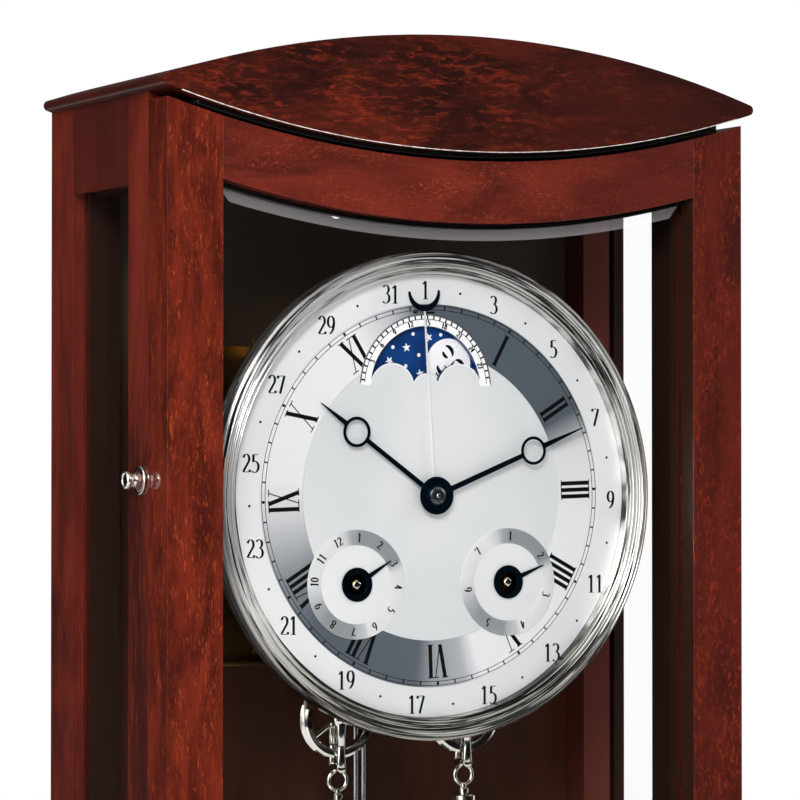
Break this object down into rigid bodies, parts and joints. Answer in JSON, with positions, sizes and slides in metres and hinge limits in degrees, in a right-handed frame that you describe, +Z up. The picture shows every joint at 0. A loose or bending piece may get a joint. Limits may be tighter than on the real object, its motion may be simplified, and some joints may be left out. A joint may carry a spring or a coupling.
{
  "type": "calendar wall clock",
  "caption": "Wall clock in a glazed lacquered wood case with a lens-shaped crown, a calendar dial with a moon disc, pulley-hung weights and a rod pendulum.",
  "frame": {"origin": "centre of the hanging hole, in the plane of the wall", "axes": "+X to the right seen from the front, +Y into the wall, +Z up"},
  "size_m": [0.3707, 0.164, 1],
  "materials": {
    "crown_veneer": "dark red-brown veneer under high-gloss lacquer",
    "crown_front_veneer": "dark red-brown burl veneer under high-gloss lacquer",
    "black_lacquer": "black gloss",
    "side_veneer": "red-brown striped veneer under gloss lacquer",
    "side_glass": "clear flat glass",
    "back_veneer": "dark brown veneer, satin",
    "inner_wood": "dark stained wood, satin",
    "zinc_steel": "zinc plated",
    "hinge_brass": "satin brass",
    "door_veneer": "orange-red striped veneer under high-gloss lacquer",
    "door_glass": "clear glass with a bevelled edge",
    "nickel": "polished nickel plate",
    "plate_brass": "lacquered brass",
    "wheel_brass": "polished brass",
    "silvered_ring": "silvered, satin, with printed day numerals",
    "polished_ring": "polished silver ring with black numerals",
    "silvered_centre": "matte silver",
    "blue_lacquer": "deep blue with white stars and a white moon",
    "silver_hand": "thin silver hand with a blued crescent",
    "blued_steel": "heat blued",
    "polished_steel": "polished steel",
    "cable_brass": "stranded brass cable",
    "bell_brass": "polished bell brass"
  },
  "bodies": {
    "root": {"crown_shell": "crown_veneer", "crown_front": "crown_front_veneer", "crown_strip": "black_lacquer", "base_shell": "crown_veneer", "base_front": "crown_front_veneer", "side_frame_left": "side_veneer", "side_frame_right": "side_veneer", "side_glasses": "side_glass", "back_panel": "back_veneer", "top_board": "inner_wood", "bottom_board": "inner_wood", "hanger_plate": "zinc_steel", "case_hinge_leaves": "hinge_brass", "hinge_pins": "hinge_brass", "movement_seat": "plate_brass", "seat_pillars": "plate_brass", "movement_front_plate": "plate_brass", "movement_back_plate": "plate_brass", "movement_pillars": "wheel_brass", "dial_plate": "plate_brass", "dial_feet": "wheel_brass", "bezel": "nickel", "date_ring": "silvered_ring", "hour_ring": "polished_ring", "centre_disc": "silvered_centre", "small_dial_rings": "polished_ring", "cable_left": "cable_brass", "cable_right": "cable_brass", "suspension_cock": "plate_brass", "bell": "bell_brass"},
    "door": {"door_stile_left": "door_veneer", "door_stile_right": "door_veneer", "door_rail_top": "door_veneer", "door_rail_bottom": "door_veneer", "door_glass": "door_glass", "door_beads": "black_lacquer", "door_catch": "hinge_brass", "door_hinge_leaves": "hinge_brass"},
    "latch": {"latch_knob": "nickel"},
    "minute": {"minute_hand": "blued_steel", "centre_wheel": "wheel_brass"},
    "hour": {"hour_hand": "blued_steel"},
    "motion": {"motion_wheel": "wheel_brass"},
    "second": {"second_wheel": "wheel_brass"},
    "third": {"third_wheel": "wheel_brass"},
    "escape": {"escape_wheel": "wheel_brass"},
    "date": {"date_hand": "silver_hand"},
    "month": {"month_hand": "blued_steel"},
    "weekday": {"weekday_hand": "blued_steel"},
    "moon": {"moon_disc": "blue_lacquer"},
    "anchor": {"anchor": "polished_steel"},
    "pendulum": {"pendulum_rods": "nickel", "pendulum_bob": "nickel"},
    "nut": {"rating_nut": "nickel"},
    "drum_left": {"drum_left": "wheel_brass"},
    "drum_right": {"drum_right": "wheel_brass"},
    "weight_left": {"weight_left": "nickel"},
    "weight_right": {"weight_right": "nickel"},
    "pulley_left": {"pulley_left": "nickel"},
    "pulley_right": {"pulley_right": "nickel"}
  },
  "joints": [
    {"name": "door_hinge", "type": "hinge", "parent": "root", "child": "door", "pos_m": [0.1806, -0.1337, -0.165], "axis": [0, 0, 1], "range_deg": [0, 110]},
    {"name": "latch_turn", "type": "hinge", "parent": "root", "child": "latch", "pos_m": [-0.178, -0.125, -0.156], "axis": [-1, 0, 0], "range_deg": [0, 90]},
    {"name": "minute_turn", "type": "hinge", "parent": "root", "child": "minute", "pos_m": [0, -0.079, -0.165], "axis": [0, 1, 0], "continuous": true},
    {"name": "hour_turn", "type": "hinge", "parent": "root", "child": "hour", "pos_m": [0, -0.079, -0.165], "axis": [0, 1, 0], "continuous": true},
    {"name": "motion_turn", "type": "hinge", "parent": "root", "child": "motion", "pos_m": [-0.0184, -0.079, -0.1834], "axis": [0, 1, 0], "continuous": true},
    {"name": "second_turn", "type": "hinge", "parent": "root", "child": "second", "pos_m": [0.04, -0.079, -0.1752], "axis": [0, 1, 0], "continuous": true},
    {"name": "third_turn", "type": "hinge", "parent": "root", "child": "third", "pos_m": [-0.03, -0.079, -0.145], "axis": [0, 1, 0], "continuous": true},
    {"name": "escape_turn", "type": "hinge", "parent": "root", "child": "escape", "pos_m": [-0.008, -0.079, -0.1225], "axis": [0, 1, 0], "continuous": true},
    {"name": "date_turn", "type": "hinge", "parent": "root", "child": "date", "pos_m": [0, -0.119, -0.165], "axis": [0, 1, 0], "continuous": true},
    {"name": "month_turn", "type": "hinge", "parent": "root", "child": "month", "pos_m": [-0.0475, -0.119, -0.2135], "axis": [0, 1, 0], "continuous": true},
    {"name": "weekday_turn", "type": "hinge", "parent": "root", "child": "weekday", "pos_m": [0.0475, -0.119, -0.2135], "axis": [0, 1, 0], "continuous": true},
    {"name": "moon_turn", "type": "hinge", "parent": "root", "child": "moon", "pos_m": [-0.0043, -0.115, -0.1058], "axis": [0, -1, 0], "continuous": true},
    {"name": "pendulum_swing", "type": "hinge", "parent": "root", "child": "pendulum", "pos_m": [0, -0.031, -0.101], "axis": [0, 1, 0], "range_deg": [-3.5, 3.5]},
    {"name": "anchor_rock", "type": "hinge", "parent": "root", "child": "anchor", "pos_m": [0, -0.059, -0.101], "axis": [0, 1, 0], "range_deg": [-3.5, 3.5]},
    {"name": "rating_turn", "type": "hinge", "parent": "pendulum", "child": "nut", "pos_m": [0, -0.031, -0.785], "axis": [0, 0, 1], "continuous": true},
    {"name": "weight_left_drop", "type": "slide", "parent": "root", "child": "weight_left", "axis": [0, 0, -1], "range_m": [0, 0.29], "deforming": ["cable_left"]},
    {"name": "drum_left_turn", "type": "hinge", "parent": "root", "child": "drum_left", "pos_m": [-0.0475, -0.082, -0.2135], "axis": [0, -1, 0], "range_deg": [0, 2660]},
    {"name": "pulley_left_turn", "type": "hinge", "parent": "weight_left", "child": "pulley_left", "pos_m": [-0.04, -0.082, -0.2895], "axis": [0, -1, 0], "range_deg": [0, 835]},
    {"name": "weight_right_drop", "type": "slide", "parent": "root", "child": "weight_right", "axis": [0, 0, -1], "range_m": [0, 0.29], "deforming": ["cable_right"]},
    {"name": "drum_right_turn", "type": "hinge", "parent": "root", "child": "drum_right", "pos_m": [0.0475, -0.082, -0.2135], "axis": [0, 1, 0], "range_deg": [0, 2660]},
    {"name": "pulley_right_turn", "type": "hinge", "parent": "weight_right", "child": "pulley_right", "pos_m": [0.04, -0.082, -0.2895], "axis": [0, 1, 0], "range_deg": [0, 835]}
  ],
  "couplings": [
    {"joint": "hour_turn", "follows": "minute_turn", "ratio": 0.083333},
    {"joint": "motion_turn", "follows": "minute_turn", "ratio": -0.33333},
    {"joint": "second_turn", "follows": "minute_turn", "ratio": -0.19444},
    {"joint": "third_turn", "follows": "minute_turn", "ratio": -9},
    {"joint": "escape_turn", "follows": "minute_turn", "ratio": 76.5},
    {"joint": "anchor_rock", "follows": "pendulum_swing", "ratio": 1},
    {"joint": "drum_left_turn", "follows": "weight_left_drop", "rad_per_m": 160},
    {"joint": "drum_right_turn", "follows": "weight_right_drop", "rad_per_m": 160},
    {"joint": "pulley_left_turn", "follows": "weight_left_drop", "rad_per_m": 50},
    {"joint": "pulley_right_turn", "follows": "weight_right_drop", "rad_per_m": 50}
  ]
}
